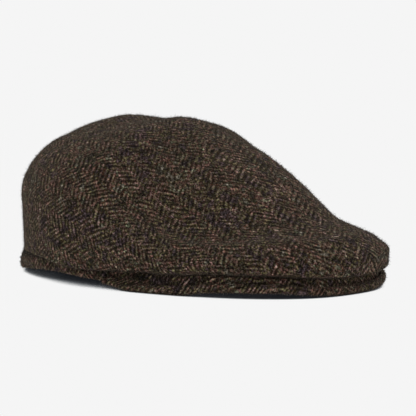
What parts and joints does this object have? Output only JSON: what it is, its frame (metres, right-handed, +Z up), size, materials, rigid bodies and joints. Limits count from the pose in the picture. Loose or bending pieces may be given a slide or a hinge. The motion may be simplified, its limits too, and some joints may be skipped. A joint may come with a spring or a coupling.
{
  "type": "flat cap",
  "caption": "Tweed flat cap: soft crown sloping down on to a stiff curved peak, with a hem band round an open head hollow.",
  "frame": {"origin": "under the middle of the cap, on the surface that it rests on", "axes": "+Z up, -Y towards the front of the peak, +X towards the wearer's left"},
  "size_m": [0.187, 0.2658, 0.1004],
  "materials": {
    "tweed": "dark brown flecked herringbone wool tweed, matt and slightly hairy"
  },
  "bodies": {
    "root": {"crown": "tweed", "hem_band": "tweed", "peak": "tweed"}
  },
  "joints": []
}
